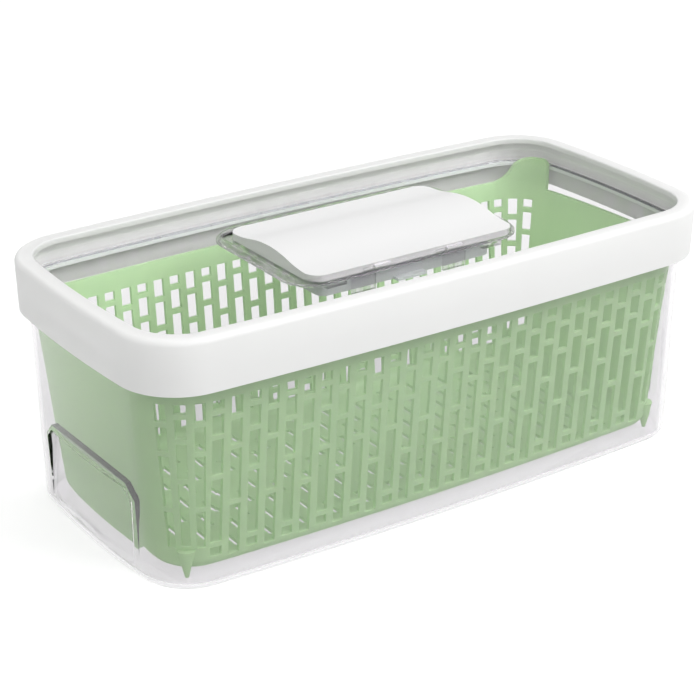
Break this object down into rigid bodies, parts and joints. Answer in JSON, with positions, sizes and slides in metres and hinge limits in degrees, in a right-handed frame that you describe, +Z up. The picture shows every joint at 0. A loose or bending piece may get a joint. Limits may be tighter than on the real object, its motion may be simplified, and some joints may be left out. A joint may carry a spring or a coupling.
{
  "type": "produce keeper",
  "caption": "Clear food keeper with a slotted lift-out basket, and a lid with a sliding vent and a hinged filter tray.",
  "frame": {"origin": "centre of the bin's underside, on the surface that it stands on", "axes": "+X along the long side, towards the end where the vent's slider rests; +Y towards the back, where the filter tray is hinged; +Z up"},
  "size_m": [0.3484, 0.1664, 0.1353],
  "materials": {
    "clear_plastic": "clear, polished",
    "green_plastic": "translucent, satin",
    "white_plastic": "satin",
    "grey_plastic": "translucent, satin",
    "seal_rubber": "soft, matte",
    "carbon_felt": "felted, matte",
    "filter_cloth": "thin, non-woven"
  },
  "bodies": {
    "bin": {"bin": "clear_plastic"},
    "basket": {"basket": "green_plastic"},
    "lid": {"lid_frame": "white_plastic", "lid_window": "clear_plastic", "lid_gasket": "seal_rubber", "vent_frame": "clear_plastic"},
    "slider": {"vent_slider": "white_plastic", "vent_shutter": "white_plastic"},
    "tray": {"filter_tray": "grey_plastic"},
    "cartridge": {"filter_frame": "white_plastic", "carbon_pad": "carbon_felt", "filter_sheets": "filter_cloth"}
  },
  "joints": [
    {"name": "lid_lift", "type": "slide", "parent": "bin", "child": "lid", "axis": [0, 0, 1], "range_m": [0, 0.26]},
    {"name": "basket_lift", "type": "slide", "parent": "bin", "child": "basket", "axis": [0, 0, 1], "range_m": [0, 0.13]},
    {"name": "vent_slide", "type": "slide", "parent": "lid", "child": "slider", "axis": [-1, 0, 0], "range_m": [0, 0.007]},
    {"name": "tray_hinge", "type": "hinge", "parent": "lid", "child": "tray", "pos_m": [0, 0.0396, 0.1236], "axis": [1, 0, 0], "range_deg": [0, 95]},
    {"name": "cartridge_slide", "type": "slide", "parent": "tray", "child": "cartridge", "axis": [0, 0, 1], "range_m": [0, 0.012]}
  ],
  "couplings": [
    {"joint": "basket_lift", "follows": "lid_lift", "ratio": 0.5},
    {"joint": "cartridge_slide", "follows": "tray_hinge", "m_per_rad": 0.007}
  ]
}
